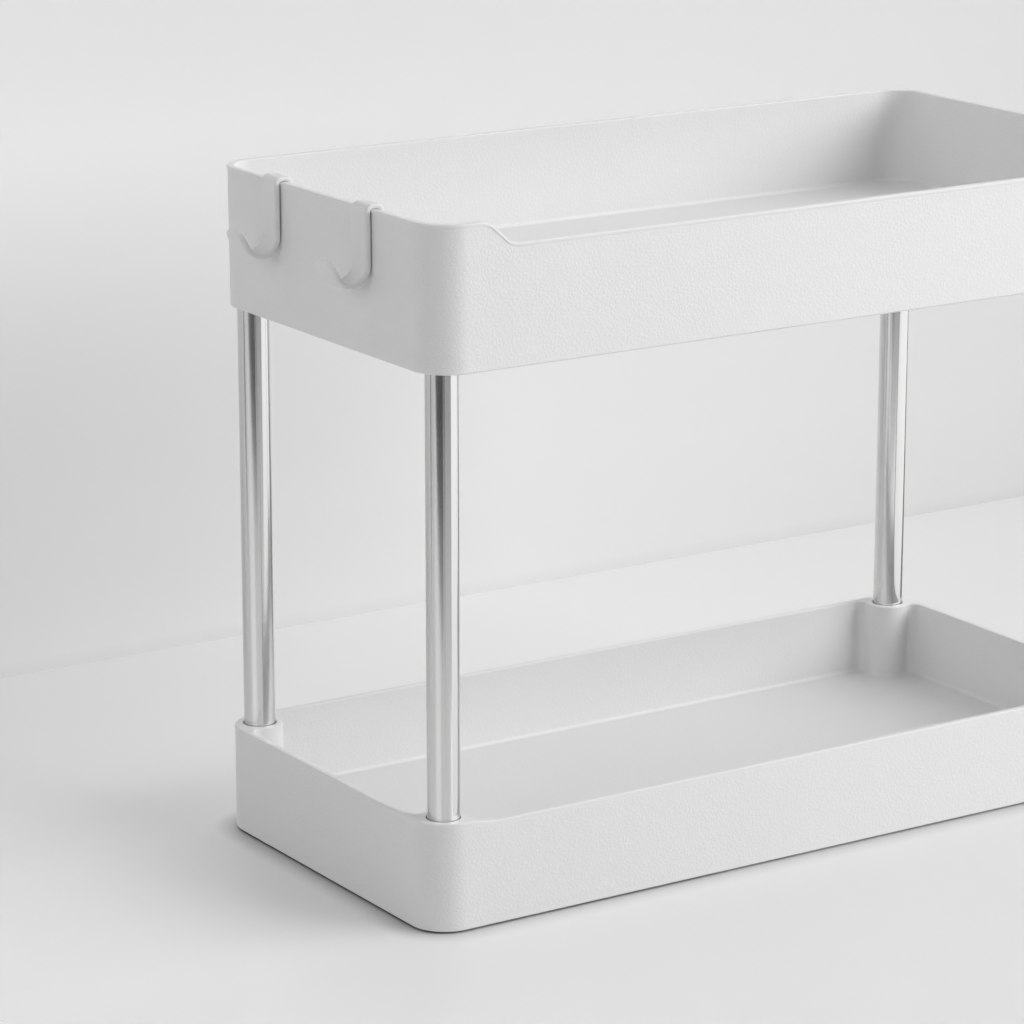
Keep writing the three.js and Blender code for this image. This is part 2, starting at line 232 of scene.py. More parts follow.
class OrganizerStage(bpy.types.PropertyGroup):
    """Floor, wall, light and camera"""

    floor_colour: colour("Floor colour", "Pale table top", (0.82, 0.82, 0.82))
    wall_colour: colour("Wall colour", "Pale wall behind", (0.78, 0.78, 0.78))
    wall_place: length("Wall place", "Where the wall stands behind the organizer", 0.306)
    reach: length("Reach", "How far floor and wall run", 6.0)
    sky: amount("Sky", "Strength of the even light", 0.03)
    backdrop: amount("Backdrop", "Brightness of the surroundings that are seen directly", 0.85)
    key_power: amount("Key power", "Power of the wide main light, in watts", 61.8)
    key_place: place("Key place", "Middle of the wide main light", (1.962, -1.706, 1.26))
    key_width: length("Key width", "Level side of the main light", 3.2)
    key_height: length("Key height", "Upright side of the main light", 1.4)
    high_power: amount("High power", "Power of the raised light beside the main one, in watts", 13.8)
    high_place: place("High place", "Middle of the raised light", (1.52, -1.52, 1.95))
    high_size: length("High size", "Side of the raised light", 1.6)
    fill_power: amount("Fill power", "Power of the soft light from the left, in watts", 37.7)
    fill_place: place("Fill place", "Middle of the soft light from the left", (-3.45, -1.61, 1.93))
    fill_size: length("Fill size", "Side of the soft light from the left", 2.4)
    top_power: amount("Top power", "Power of the soft light from above, in watts", 9.8)
    top_place: place("Top place", "Middle of the soft light from above", (0.0, -0.1, 2.95))
    top_size: length("Top size", "Side of the soft light from above", 1.6)
    camera_place: place("Camera place", "Where the camera stands", (-0.92681, -1.31064, 0.54999))
    camera_turn: angle("Camera turn", "Heading of the camera, from +Y towards +X", 33.026)
    camera_dip: angle("Camera dip", "How far the camera looks down", 14.874)
    lens: amount("Lens", "Focal length on a 36 mm wide sensor", 145.14)


def settings(group):
    """The property group of that name on the scene"""
    return getattr(bpy.context.scene, "organizer_" + group)


# Points, meshes and objects


def arc(centre, radius, start, stop, steps):
    """Points on an arc in a plane, ends included"""
    angles = [start + (stop - start) * i / steps for i in range(steps + 1)]
    return [Vector((centre[0] + radius * math.cos(a), centre[1] + radius * math.sin(a))) for a in angles]


def quarter(step, steps):
    """Angle of one step in a quarter turn"""
    return math.pi / 2 * step / steps


def add_object(name, mesh):
    """A new object at the origin that holds a mesh"""
    made = bpy.data.objects.new(name, mesh)
    bpy.context.scene.collection.objects.link(made)
    return made


def evaluated_mesh(host):
    """The plain mesh that an object's modifiers make. The object is removed."""
    depsgraph = bpy.context.evaluated_depsgraph_get()
    mesh = bpy.data.meshes.new_from_object(
        host.evaluated_get(depsgraph), preserve_all_data_layers=True, depsgraph=depsgraph
    )
    bpy.data.objects.remove(host)
    return mesh


def turned_mesh(name, profiles, places=((0.0, 0.0),)):
    """Upright turned solids

    A profile holds (radius, level) pairs, up on the outside, from axis to axis or closed.
    """
    work = bmesh.new()
    wrap = work.loops.layers.uv.new("wrap")
    for x, y in places:
        for profile in profiles:
            add_turned(work, wrap, profile, x, y)
    mesh = bpy.data.meshes.new(name)
    work.to_mesh(mesh)
    work.free()
    return mesh


def add_turned(work, wrap, profile, x, y):
    """One turned solid in a working mesh, with its turn and level kept as UV"""
    columns = []
    for i in range(ROUND_STEPS):
        a = math.tau * i / ROUND_STEPS
        columns.append([(x + r * math.cos(a), y + r * math.sin(a), z) for r, z in profile])
    rings = []
    for level, (radius, z) in enumerate(profile):
        if radius == 0:
            rings.append([work.verts.new((x, y, z))] * ROUND_STEPS)
        else:
            rings.append([work.verts.new(column[level]) for column in columns])
    closed = profile[0][0] > 0
    pairs = list(zip(rings, rings[1:] + rings[:1] if closed else rings[1:]))
    for low, high in pairs:
        for i in range(ROUND_STEPS):
            j = (i + 1) % ROUND_STEPS
            corners = list(dict.fromkeys((low[i], low[j], high[j], high[i])))
            face = work.faces.new(corners)
            for loop in face.loops:
                turn = i + 1 if loop.vert in (low[j], high[j]) and loop.vert not in (low[i], high[i]) else i
                loop[wrap].uv = (turn / ROUND_STEPS, loop.vert.co.z)


def combined(name, target, tool, operation):
    """The mesh of one closed solid cut by, joined with or kept inside another"""
    host = add_object(name + "_host", target)
    other = add_object(name + "_tool", tool)
    modifier = host.modifiers.new(operation.title(), "BOOLEAN")
    modifier.object = other
    modifier.operation = operation
    modifier.solver = "MANIFOLD"
    mesh = evaluated_mesh(host)
    bpy.data.objects.remove(other)
    return mesh


def smoothed(name, mesh, sharp_degrees=SHARP_DEGREES):
    """A finished object: smooth faces, sharp edges at steep angles, flat faces kept flat"""
    mesh.polygons.foreach_set("use_smooth", [True] * len(mesh.polygons))
    mesh.set_sharp_from_angle(angle=math.radians(sharp_degrees))
    host = add_object(name + "_host", mesh)
    modifier = host.modifiers.new("Weighted normals", "WEIGHTED_NORMAL")
    modifier.keep_sharp = True
    finished = evaluated_mesh(host)
    finished.name = name
    return add_object(name, finished)


def dress(piece, material, body, slot, *nodes):
    """Gives a finished piece its material and its body, and hides the nodes that it stands for"""
    piece.data.materials.clear()
    piece.data.materials.append(material)
    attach(piece, body)
    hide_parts(*nodes)


# Node trees


def empty_tree(owner):
    """The node tree of a material or the world, with no nodes yet"""
    owner.use_nodes = True
    owner.node_tree.nodes.clear()
    return owner.node_tree


def add_node(tree, kind, inputs=(), **values):
    """A node with its settings, and its sockets set or linked in a dict of name or number"""
    made = tree.nodes.new(kind)
    for name, value in values.items():
        setattr(made, name, value)
    for key, value in dict(inputs).items():
        if isinstance(value, bpy.types.NodeSocket):
            tree.links.new(value, made.inputs[key])
        else:
            made.inputs[key].default_value = value
    return made


def math_node(tree, operation, first, second=0.0, clamp=False):
    """Result of one sum on two values or sockets"""
    kind = "ShaderNodeMath"
    return add_node(tree, kind, {0: first, 1: second}, operation=operation, use_clamp=clamp).outputs[0]


def vector_node(tree, operation, first, second):
    """Result of one sum on two vectors or sockets"""
    return add_node(tree, "ShaderNodeVectorMath", {0: first, 1: second}, operation=operation).outputs[0]


def new_tree(name, sockets):
    """A geometry node tree with its named inputs, its group input and its group output"""
    tree = bpy.data.node_groups.new(name, "GeometryNodeTree")
    tree.interface.new_socket("Geometry", in_out="INPUT", socket_type="NodeSocketGeometry")
    for socket, kind in sockets.items():
        tree.interface.new_socket(socket, in_out="INPUT", socket_type=kind)
    tree.interface.new_socket("Geometry", in_out="OUTPUT", socket_type="NodeSocketGeometry")
    source = tree.nodes.new("NodeGroupInput")
    return tree, source.outputs


def end_tree(tree, geometry, material):
    """Instances made real, with their material, at the end of a tree"""
    real = add_node(tree, "GeometryNodeRealizeInstances", {"Geometry": geometry})
    dressed = add_node(tree, "GeometryNodeSetMaterial", {"Geometry": real.outputs[0], "Material": material})
    add_node(tree, "NodeGroupOutput", {"Geometry": dressed.outputs[0]})


def grown(name, host_mesh, tree, values):
    """The plain mesh that a tree makes from a host mesh, with its inputs set by identifier"""
    host = add_object(name + "_host", host_mesh)
    modifier = host.modifiers.new(tree.name, "NODES")
    modifier.node_group = tree
    for item in tree.interface.items_tree:
        if item.in_out == "INPUT" and item.name in values:
            modifier[item.identifier] = values[item.name]
    return evaluated_mesh(host)


def corner_tree():
    """Tree that sets one turned piece under each corner of a rectangle"""
    tree, given = new_tree("Four corners", {
        "Spacing X": "NodeSocketFloat",
        "Spacing Y": "NodeSocketFloat",
        "Middle": "NodeSocketVector",
        "Material": "NodeSocketMaterial",
    })
    grid = add_node(tree, "GeometryNodeMeshGrid", {
        "Size X": given["Spacing X"],
        "Size Y": given["Spacing Y"],
        "Vertices X": 2,
        "Vertices Y": 2,
    })
    inputs = {"Geometry": grid.outputs[0], "Translation": given["Middle"]}
    moved = add_node(tree, "GeometryNodeTransform", inputs)
    copies = add_node(tree, "GeometryNodeInstanceOnPoints", {
        "Points": moved.outputs[0],
        "Instance": given["Geometry"],
    })
    end_tree(tree, copies.outputs[0], given["Material"])
    return tree


def rounded_end(tree, distance, radius):
    """How much of the full section is left at a distance from a rounded end"""
    least = 0.1
    share = math_node(tree, "DIVIDE", distance, radius, clamp=True)
    missing = math_node(tree, "SUBTRACT", 1.0, share)
    left = math_node(tree, "SUBTRACT", 1.0, math_node(tree, "MULTIPLY", missing, missing))
    return math_node(tree, "MAXIMUM", math_node(tree, "SQRT", left), least)


def strap_tree():
    """Tree that sweeps a strap with rounded edges along a path, with a round tip at its end"""
    tree, given = new_tree("Swept strap", {
        "Width": "NodeSocketFloat",
        "Thickness": "NodeSocketFloat",
        "Edge": "NodeSocketFloat",
        "Tip radius": "NodeSocketFloat",
        "Step": "NodeSocketFloat",
        "Material": "NodeSocketMaterial",
    })
    curve = add_node(tree, "GeometryNodeMeshToCurve", {"Mesh": given["Geometry"]})
    inputs = {"Curve": curve.outputs[0], "Length": given["Step"]}
    spaced = add_node(tree, "GeometryNodeResampleCurve", inputs, mode="LENGTH")
    inputs = {"Curve": spaced.outputs[0], "Normal": (0.0, 1.0, 0.0)}
    square = add_node(tree, "GeometryNodeSetCurveNormal", inputs, mode="FREE")

    along = add_node(tree, "GeometryNodeSplineParameter").outputs["Length"]
    whole = add_node(tree, "GeometryNodeSplineLength").outputs["Length"]
    to_tip = math_node(tree, "SUBTRACT", whole, along)
    half = math_node(tree, "MULTIPLY", given["Thickness"], 0.5)
    thin = rounded_end(tree, math_node(tree, "MINIMUM", along, to_tip), half)
    share = add_node(tree, "GeometryNodeInputNamedAttribute", {"Name": "share"}, data_type="FLOAT")
    thin = math_node(tree, "MULTIPLY", thin, share.outputs["Attribute"])
    both_corners = math_node(tree, "MULTIPLY", given["Tip radius"], 2.0)
    corner = math_node(tree, "DIVIDE", both_corners, given["Width"])
    lost = math_node(tree, "SUBTRACT", 1.0, rounded_end(tree, to_tip, given["Tip radius"]))
    narrow = math_node(tree, "SUBTRACT", 1.0, math_node(tree, "MULTIPLY", corner, lost))
    scale = add_node(tree, "ShaderNodeCombineXYZ", {"X": thin, "Y": narrow, "Z": thin})
    kept = add_node(tree, "GeometryNodeCaptureAttribute", {"Geometry": square.outputs[0]})
    kept.capture_items.new("VECTOR", "Spine")
    kept.capture_items.new("VECTOR", "Scale")
    spine = add_node(tree, "GeometryNodeInputPosition").outputs[0]
    tree.links.new(spine, kept.inputs["Spine"])
    tree.links.new(scale.outputs[0], kept.inputs["Scale"])

    section = add_node(tree, "GeometryNodeCurvePrimitiveQuadrilateral", {
        "Width": given["Width"],
        "Height": given["Thickness"],
    })
    inputs = {"Curve": section.outputs[0], "Radius": given["Edge"], "Count": EDGE_STEPS}
    eased = add_node(tree, "GeometryNodeFilletCurve", inputs, mode="POLY")
    swept = add_node(tree, "GeometryNodeCurveToMesh", {
        "Curve": kept.outputs["Geometry"],
        "Profile Curve": eased.outputs[0],
        "Fill Caps": True,
    })
    position = add_node(tree, "GeometryNodeInputPosition").outputs[0]
    offset = vector_node(tree, "SUBTRACT", position, kept.outputs["Spine"])
    shrunk = vector_node(tree, "MULTIPLY", offset, kept.outputs["Scale"])
    placed = vector_node(tree, "ADD", shrunk, kept.outputs["Spine"])
    shaped = add_node(tree, "GeometryNodeSetPosition", {"Geometry": swept.outputs[0], "Position": placed})
    end_tree(tree, shaped.outputs[0], given["Material"])
    return tree


# Materials


def new_material(name):
    """A material with one Principled shader, and its tree"""
    material = bpy.data.materials.new(name)
    tree = empty_tree(material)
    shader = tree.nodes.new("ShaderNodeBsdfPrincipled")
    add_node(tree, "ShaderNodeOutputMaterial", {"Surface": shader.outputs[0]})
    return material, tree, shader


def object_coordinates(tree):
    """Coordinates of the piece itself"""
    return add_node(tree, "ShaderNodeTexCoord").outputs["Object"]


def noise(tree, vector, scale, detail=3.0, rough=0.55):
    """Noise between 0 and 1"""
    inputs = {"Vector": vector, "Scale": scale, "Detail": detail, "Roughness": rough}
    return add_node(tree, "ShaderNodeTexNoise", inputs).outputs["Fac"]


def ranged(tree, value, low, high, start=0.0, stop=1.0, smooth=False):
    """A value carried from one range to another"""
    kind = "SMOOTHSTEP" if smooth else "LINEAR"
    inputs = {"Value": value, "From Min": start, "From Max": stop, "To Min": low, "To Max": high}
    return add_node(tree, "ShaderNodeMapRange", inputs, interpolation_type=kind).outputs[0]


def tinted(tree, factor, base, darkest):
    """A colour that goes from a darker tint to the base colour"""
    mixed = add_node(tree, "ShaderNodeMix", {0: factor}, data_type="RGBA")
    mixed.inputs["A"].default_value = (*[c * darkest for c in base], 1.0)
    mixed.inputs["B"].default_value = (*base, 1.0)
    return mixed.outputs["Result"]


def coloured(tree, shader, pattern, base, darkest):
    """Base colour that follows a pattern from a darker tint to the full colour"""
    tree.links.new(tinted(tree, pattern, base, darkest), shader.inputs["Base Color"])


def roughened(tree, shader, pattern, low, high):
    """Roughness that follows a pattern from one value to another"""
    tree.links.new(ranged(tree, pattern, low, high), shader.inputs["Roughness"])


def bumped(tree, shader, height, depth):
    """Bump of a depth in metres"""
    bump = add_node(tree, "ShaderNodeBump", {"Height": height, "Strength": 1.0, "Distance": depth})
    tree.links.new(bump.outputs[0], shader.inputs["Normal"])


def tray_material():
    """White plastic with a moulded pebble grain where the piece's grain attribute asks for it, and painted
    shade in the grain's creases
    """
    finish = settings("finishes")
    material, tree, shader = new_material("tray_plastic")
    here = object_coordinates(tree)
    amount_here = add_node(tree, "ShaderNodeAttribute", attribute_name="grain").outputs["Fac"]

    pebble = finish.grain_size
    crease_width = 0.3
    fine_share = 0.5
    inputs = {"Vector": here, "Scale": 0.6 / pebble, "Detail": 2.0}
    wander = add_node(tree, "ShaderNodeTexNoise", inputs)
    centred = vector_node(tree, "SUBTRACT", wander.outputs["Color"], (0.5, 0.5, 0.5))
    shift = vector_node(tree, "MULTIPLY", centred, (pebble, pebble, pebble))
    bent = vector_node(tree, "ADD", here, shift)
    inputs = {"Vector": bent, "Scale": 1.0 / pebble}
    cells = add_node(tree, "ShaderNodeTexVoronoi", inputs, feature="DISTANCE_TO_EDGE")
    pebbles = ranged(tree, cells.outputs["Distance"], 0.0, 1.0, 0.0, crease_width, smooth=True)
    fine = noise(tree, bent, scale=1.6 / pebble, detail=2.0)
    height = math_node(tree, "ADD", pebbles, math_node(tree, "MULTIPLY", fine, fine_share))
    bumped(tree, shader, math_node(tree, "MULTIPLY", height, amount_here), finish.grain_depth)

    # Painted shade: the grain's creases are darkened in the colour, as far as the grain attribute asks
    crease_shade_share = 0.22
    cloud = noise(tree, here, scale=14.0, detail=4.0)
    crease = math_node(tree, "MULTIPLY", ranged(tree, pebbles, low=1.0, high=0.0), amount_here)
    tint = math_node(tree, "MULTIPLY", crease, crease_shade_share)
    shade = math_node(tree, "SUBTRACT", cloud, tint, clamp=True)
    coloured(tree, shader, shade, finish.tray_colour, darkest=0.965)
    polish = ranged(tree, amount_here, low=0.36, high=0.5)
    smear = ranged(tree, noise(tree, here, scale=60.0), low=-0.05, high=0.05)
    tree.links.new(math_node(tree, "ADD", polish, smear), shader.inputs["Roughness"])
    shader.inputs["IOR"].default_value = PLASTIC_IOR
    return material


def hook_material():
    """Satin white plastic with a faint unevenness from the mould"""
    finish = settings("finishes")
    material, tree, shader = new_material("hook_plastic")
    here = object_coordinates(tree)
    cloud = noise(tree, here, scale=70.0, detail=4.0)
    coloured(tree, shader, cloud, finish.hook_colour, darkest=0.965)
    roughened(tree, shader, noise(tree, here, scale=260.0), low=0.36, high=0.46)
    bumped(tree, shader, noise(tree, here, scale=900.0, detail=2.0), depth=0.000004)
    shader.inputs["IOR"].default_value = PLASTIC_IOR
    return material


def steel_material():
    """Polished stainless tube: fine lines round the tube, which blur what it mirrors along its length"""
    finish = settings("finishes")
    material, tree, shader = new_material("post_steel")
    here = object_coordinates(tree)
    round_lines = (60.0, 60.0, 5200.0)
    long_smears = (90.0, 90.0, 18.0)
    squeezed = add_node(tree, "ShaderNodeMapping", {"Vector": here, "Scale": round_lines}).outputs[0]
    lines = noise(tree, squeezed, scale=1.0, detail=3.0)
    stretched = add_node(tree, "ShaderNodeMapping", {"Vector": here, "Scale": long_smears}).outputs[0]
    smudge = noise(tree, stretched, scale=1.0, detail=4.0)
    coloured(tree, shader, smudge, finish.steel_colour, darkest=0.93)
    polish = ranged(tree, smudge, low=0.1, high=0.17)
    scratch = ranged(tree, lines, low=-0.02, high=0.02)
    tree.links.new(math_node(tree, "ADD", polish, scratch), shader.inputs["Roughness"])
    shader.inputs["Metallic"].default_value = 1.0
    shader.inputs["Anisotropic"].default_value = 0.75
    shader.inputs["Anisotropic Rotation"].default_value = 0.25
    round_tube = add_node(tree, "ShaderNodeTangent", direction_type="UV_MAP", uv_map="wrap")
    tree.links.new(round_tube.outputs[0], shader.inputs["Tangent"])
    bumped(tree, shader, lines, depth=0.0000015)
    return material


def plug_material():
    """Natural plastic, as it comes from the mould"""
    finish = settings("finishes")
    material, tree, shader = new_material("plug_plastic")
    here = object_coordinates(tree)
    coloured(tree, shader, noise(tree, here, scale=120.0), finish.plug_colour, darkest=0.9)
    roughened(tree, shader, noise(tree, here, scale=500.0), low=0.45, high=0.6)
    bumped(tree, shader, noise(tree, here, scale=1500.0), depth=0.00002)
    return material


def rubber_material():
    """Grey rubber with a matt, speckled skin"""
    finish = settings("finishes")
    material, tree, shader = new_material("foot_rubber")
    here = object_coordinates(tree)
    coloured(tree, shader, noise(tree, here, scale=800.0), finish.rubber_colour, darkest=0.75)
    roughened(tree, shader, noise(tree, here, scale=300.0), low=0.7, high=0.88)
    bumped(tree, shader, noise(tree, here, scale=2600.0), depth=0.00004)
    return material


def seen_rays(tree):
    """1 for rays that show a surface, straight or in a mirror, and 0 for light that is thrown back"""
    path = add_node(tree, "ShaderNodeLightPath").outputs
    mirrored = math_node(tree, "MAXIMUM", path["Is Glossy Ray"], path["Is Transmission Ray"])
    return math_node(tree, "MAXIMUM", path["Is Camera Ray"], mirrored)


def seen_shade(tree, shade):
    """A shade where a surface is seen; light that is thrown back meets an even tone"""
    inputs = {0: seen_rays(tree), "A": 1.0, "B": shade}
    return add_node(tree, "ShaderNodeMix", inputs, data_type="FLOAT").outputs["Result"]


def floor_material():
    """Pale table top with a soft sheen, painted light and shade where it is seen, lighter to the left and
    towards the back, and a narrow painted shade where the organizer stands
    """
    material, tree, shader = new_material("floor")
    here = object_coordinates(tree)
    cloud = noise(tree, here, scale=3.0, detail=5.0)
    tone = tinted(tree, cloud, settings("stage").floor_colour, darkest=0.985)
    spot = add_node(tree, "ShaderNodeSeparateXYZ", {"Vector": here}).outputs
    # Painted light and shade: the table is lighter to the left and towards the back
    across = ranged(tree, spot["X"], *FLOOR_PAINTED_LIGHT_ACROSS)
    along = ranged(tree, spot["Y"], *FLOOR_PAINTED_LIGHT_ALONG)
    # Painted contact shade: darker where the table is closed in near the organizer, weaker at the front and
    # fading out at the back
    inputs = {"Distance": CONTACT_REACH}
    open_sky = add_node(tree, "ShaderNodeAmbientOcclusion", inputs, samples=8).outputs["AO"]
    front = ranged(tree, spot["Y"], *CONTACT_FRONT)
    back = ranged(tree, spot["Y"], *CONTACT_BACK)
    share = math_node(tree, "MULTIPLY", front, back)
    closed = math_node(tree, "MULTIPLY", share, math_node(tree, "SUBTRACT", 1.0, open_sky))
    even = math_node(tree, "MULTIPLY", across, along)
    shade = math_node(tree, "MULTIPLY", even, math_node(tree, "SUBTRACT", 1.0, closed))
    tree.links.new(vector_node(tree, "MULTIPLY", tone, seen_shade(tree, shade)), shader.inputs["Base Color"])
    roughened(tree, shader, noise(tree, here, scale=9.0), low=0.28, high=0.38)
    shader.inputs["Specular IOR Level"].default_value = 0.3
    return material


def one_sided(tree, surface):
    """A shader that shows on the front of a face alone"""
    behind = add_node(tree, "ShaderNodeNewGeometry").outputs["Backfacing"]
    clear = add_node(tree, "ShaderNodeBsdfTransparent").outputs[0]
    return add_node(tree, "ShaderNodeMixShader", {0: behind, 1: surface, 2: clear}).outputs[0]


def wall_material():
    """Pale matt wall that is seen from its front only, with painted light and shade: lighter to the left,
    darker upwards and darker at its foot
    """
    material, tree, shader = new_material("wall")
    here = object_coordinates(tree)
    cloud = noise(tree, here, scale=2.0, detail=4.0)
    tone = tinted(tree, cloud, settings("stage").wall_colour, darkest=0.985)
    spot = add_node(tree, "ShaderNodeSeparateXYZ", {"Vector": here}).outputs
    # Painted light and shade on the wall: lighter to the left, darker upwards and darker at its foot
    shade = ranged(tree, spot["X"], *WALL_PAINTED_LIGHT_ACROSS)
    for tones in (WALL_PAINTED_LIGHT_UPWARDS, *WALL_FOOT_PAINTED_SHADE):
        shade = math_node(tree, "MULTIPLY", shade, ranged(tree, spot["Z"], *tones))
    tree.links.new(vector_node(tree, "MULTIPLY", tone, seen_shade(tree, shade)), shader.inputs["Base Color"])
    shader.inputs["Roughness"].default_value = 0.85
    output = next(n for n in tree.nodes if n.type == "OUTPUT_MATERIAL")
    tree.links.new(one_sided(tree, shader.outputs[0]), output.inputs["Surface"])
    return material


def glow_material(name, middle, near, far):
    """A glow that goes from one (radius, strength) to another round a point"""
    material = bpy.data.materials.new(name)
    tree = empty_tree(material)
    kind = "ShaderNodeVectorMath"
    inputs = {0: object_coordinates(tree), 1: (middle[0], middle[1], 0.0)}
    distance = add_node(tree, kind, inputs, operation="DISTANCE").outputs["Value"]
    strength = ranged(tree, distance, near[1], far[1], near[0], far[0], smooth=True)
    glow = add_node(tree, "ShaderNodeEmission", {"Color": (1.0, 1.0, 1.0, 1.0), "Strength": strength})
    add_node(tree, "ShaderNodeOutputMaterial", {"Surface": one_sided(tree, glow.outputs[0])})
    return material


# Trays


def post_places():
    """Middle of each post, from above"""
    middles = [sum(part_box("post_" + corner), Vector()) / 2 for corner in CORNERS]
    return [(middle.x, middle.y) for middle in middles]


def post_radius():
    """Outside radius of the tubes"""
    low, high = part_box("post_front_left")
    return (high.x - low.x) / 2


def socket_radius():
    """Inside radius of the sockets"""
    return post_radius() + settings("posts").socket_clearance


def boss_radius():
    """Outside radius of the plastic round a socket"""
    return socket_radius() + settings("posts").socket_wall


def lip_fall(start, drop, bend):
    """How far a front rim lies lower at x, and where its two S curves end

    The curves start at the given distance from the middle.
    """
    slope = min(settings("trays").lip_slope, math.acos(1 - drop / (2 * bend)))
    bend_run = bend * math.sin(slope)
    bend_drop = bend * (1 - math.cos(slope))
    run = 2 * bend_run + (drop - 2 * bend_drop) / math.tan(slope)

    def bend_at(distance):
        return bend - math.sqrt(bend**2 - distance**2)

    def fall_at(x):
        distance = min(max(start - abs(x), 0.0), run)
        if distance < bend_run:
            return bend_at(distance)
        if distance > run - bend_run:
            return drop - bend_at(run - distance)
        return bend_drop + (distance - bend_run) * math.tan(slope)

    return fall_at, start - run


def lip_stations(start, end):
    """Places along a front wall where its rings have points"""
    left = [-start + (start - end) * i / LIP_STEPS for i in range(LIP_STEPS + 1)]
    return left + [-x for x in reversed(left)]


def plan(corner_at, front_at, stations, fall_at):
    """Function from an inset to a ring of points (x, y, fall), from the front left corner round"""

    def ring_at(inset):
        corner = corner_at(inset)
        back = corner[::-1]
        ring = [(p.x, p.y, fall_at(p.x)) for p in corner]
        ring += [(x, front_at(inset), fall_at(x)) for x in stations]
        ring += [(-p.x, p.y, fall_at(p.x)) for p in back]
        ring += [(-p.x, -p.y, 0.0) for p in corner]
        ring += [(p.x, -p.y, 0.0) for p in back]
        return [Vector(p) for p in ring]

    return ring_at


def rounded_corner(half_x, half_y, radius, end_y=None, front_x=None):
    """Function from an inset to a round corner's points, with straight ends up to both places"""

    def corner_at(inset):
        centre = (radius - half_x, radius - half_y)
        if end_y is None:
            return arc(centre, radius - inset, math.pi, 1.5 * math.pi, CORNER_STEPS)
        steps = CORNER_STEPS // 4
        shares = [i / steps for i in range(steps)]
        points = [Vector((inset - half_x, end_y + (centre[1] - end_y) * share)) for share in shares]
        points += arc(centre, radius - inset, math.pi, 1.5 * math.pi, 2 * steps)
        along_front = [front_x + (centre[0] - front_x) * share for share in reversed(shares)]
        points += [Vector((x, inset - half_y)) for x in along_front]
        return points

    return corner_at


def corner_pad():
    """Sizes of the pads that stand round the posts in the lower tray"""
    trays, posts = settings("trays"), settings("posts")
    low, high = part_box("post_front_left")
    half = (lower_high - lower_low) / 2
    centre = (low + high) / 2 - tray_middle
    boss = boss_radius()
    blend = posts.pad_blend + trays.floor_fillet
    to_end = half.x + centre.x - trays.wall - blend
    to_front = half.y + centre.y - trays.wall - blend
    span = boss + blend
    return {
        "centre": Vector((centre.x, centre.y)),
        "boss": boss,
        "blend": blend,
        "end": Vector((-to_end, math.sqrt(span**2 - to_end**2))),
        "front": Vector((math.sqrt(span**2 - to_front**2), -to_front)),
    }


def pad_corner():
    """Function from an inset to the lower tray's inner wall where it bends round a corner pad"""
    pad = corner_pad()
    end, front = pad["end"], pad["front"]
    end_angle = math.atan2(end.y, end.x)
    front_angle = math.atan2(front.y, front.x)
    steps = CORNER_STEPS // 4

    def corner_at(inset):
        blend = pad["blend"] - inset
        points = arc(end, blend, math.pi, end_angle + math.pi, steps)
        points += arc((0, 0), pad["boss"] + inset, end_angle, front_angle, 2 * steps)[1:-1]
        points += arc(front, blend, front_angle + math.pi, 1.5 * math.pi, steps)
        return [p + pad["centre"] for p in points]

    return corner_at


def tray_rows(outer, inner, draft, bottom, rim, floor_top, bead=0.0):
    """Rings (points, grain) of a tray, from its underside over skirt and rim down to the floor"""
    trays = settings("trays")
    rim_round = (trays.wall - trays.rim_flat) / 2
    fade_low = rim - rim_round - trays.rim_band - trays.band_fade
    fade_high = rim - rim_round - trays.rim_band
    rows = []

    def add(ring_at, inset, level, grain, with_lip=False):
        fall = 1.0 if with_lip else 0.0
        rows.append(([Vector((p.x, p.y, level - fall * p.z)) for p in ring_at(inset)], grain))

    def lean(level):
        return draft * (rim - level) / (rim - bottom)

    add(outer, trays.wall + draft, floor_top - trays.floor_thickness, 0.0)
    add(outer, trays.wall + draft, bottom, 0.0)
    for i in range(FILLET_STEPS + 1):
        a = quarter(i, FILLET_STEPS)
        inset = draft + trays.skirt_round * (1 - math.sin(a))
        level = bottom + trays.skirt_round * (1 - math.cos(a))
        add(outer, inset, level, OUTER_GRAIN * i / FILLET_STEPS)
    add(outer, lean(fade_low), fade_low, OUTER_GRAIN, True)
    add(outer, lean(fade_high), fade_high, 0.0, True)
    if bead:
        under_bead = rim - trays.bead_height - bead
        for i in range(MOUTH_STEPS + 1):
            a = quarter(i, MOUTH_STEPS)
            inset = lean(under_bead) * math.cos(a) - bead * (1 - math.cos(a))
            add(outer, inset, under_bead + bead * math.sin(a), 0.0, True)
    for i in range(RIM_STEPS + 1):
        a = quarter(i, RIM_STEPS)
        add(outer, rim_round * (1 - math.cos(a)) - bead, rim - rim_round * (1 - math.sin(a)), 0.0, True)
    for i in range(RIM_STEPS + 1):
        a = quarter(i, RIM_STEPS)
        add(inner, rim_round * (math.sin(a) - 1), rim - rim_round * (1 - math.cos(a)), 0.0, True)
    add(inner, lean(fade_high), fade_high, 0.0, True)
    add(inner, lean(fade_low), fade_low, INNER_GRAIN, True)
    for i in range(FILLET_STEPS + 1):
        a = quarter(i, FILLET_STEPS)
        inset = draft + trays.floor_fillet * (1 - math.cos(a))
        level = floor_top + trays.floor_fillet * (1 - math.sin(a))
        grain = INNER_GRAIN + (FLOOR_GRAIN - INNER_GRAIN) * i / FILLET_STEPS
        add(inner, inset, level, grain)
    return rows


